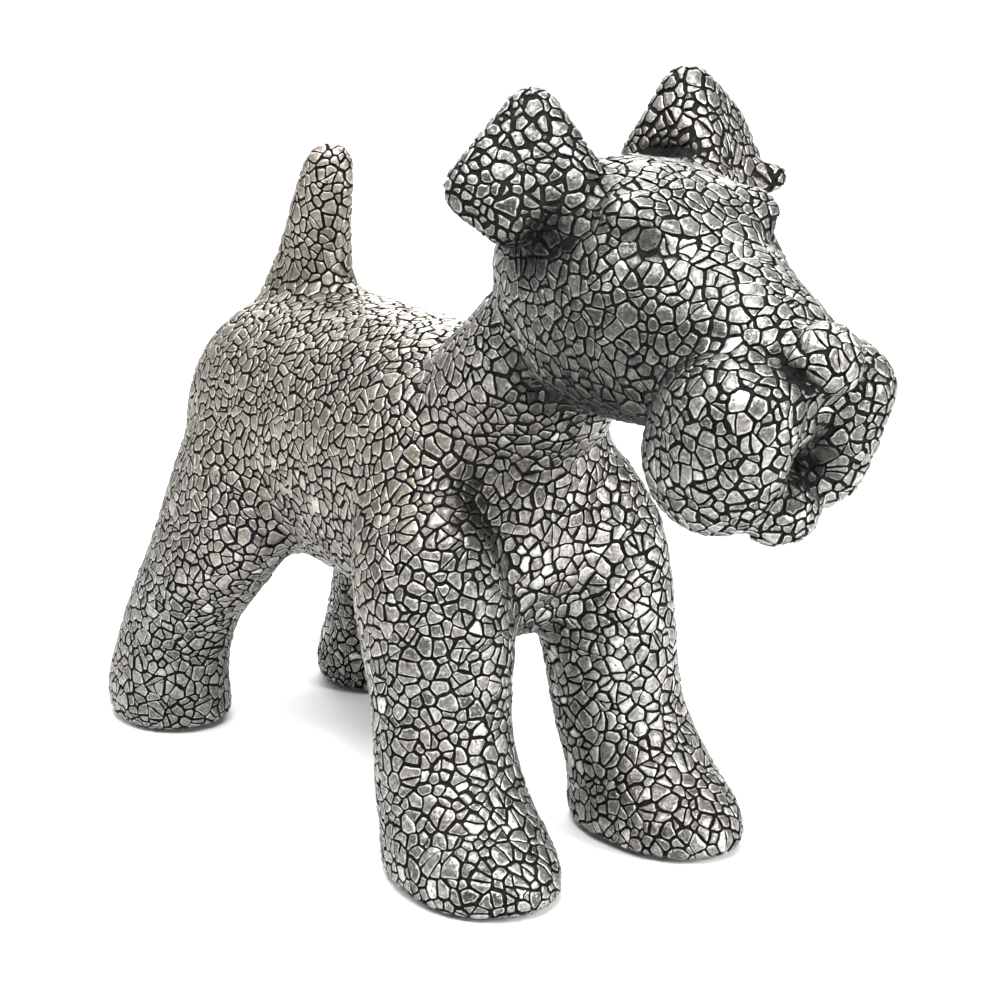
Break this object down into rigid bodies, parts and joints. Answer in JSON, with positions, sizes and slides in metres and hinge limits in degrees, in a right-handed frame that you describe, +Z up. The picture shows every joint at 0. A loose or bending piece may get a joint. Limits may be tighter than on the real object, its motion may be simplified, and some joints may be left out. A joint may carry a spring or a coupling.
{
  "type": "ceramic dog figurine",
  "caption": "Standing wire-coated terrier figurine in hollow glazed ceramic, covered in a mosaic of raised silver chips with dark joints, with an upright tail and folded ears.",
  "frame": {"origin": "on the floor under the middle of the figurine's length and width", "axes": "+Z up, the dog faces -Y, +X is the dog's left"},
  "size_m": [0.121, 0.3111, 0.2244],
  "materials": {
    "silver_chips": "antiqued silver glaze, cracked into small raised chips with dark joints",
    "felt": "matt black felt",
    "rubber_stopper": "matt black"
  },
  "bodies": {
    "root": {"torso": "silver_chips", "head": "silver_chips", "left_ear": "silver_chips", "right_ear": "silver_chips", "nose": "silver_chips", "left_moustache": "silver_chips", "right_moustache": "silver_chips", "chin_beard": "silver_chips", "tail": "silver_chips", "front_left_leg": "silver_chips", "front_right_leg": "silver_chips", "rear_left_leg": "silver_chips", "rear_right_leg": "silver_chips", "front_left_pad": "felt", "front_right_pad": "felt", "rear_left_pad": "felt", "rear_right_pad": "felt", "vent_plug": "rubber_stopper"}
  },
  "joints": []
}
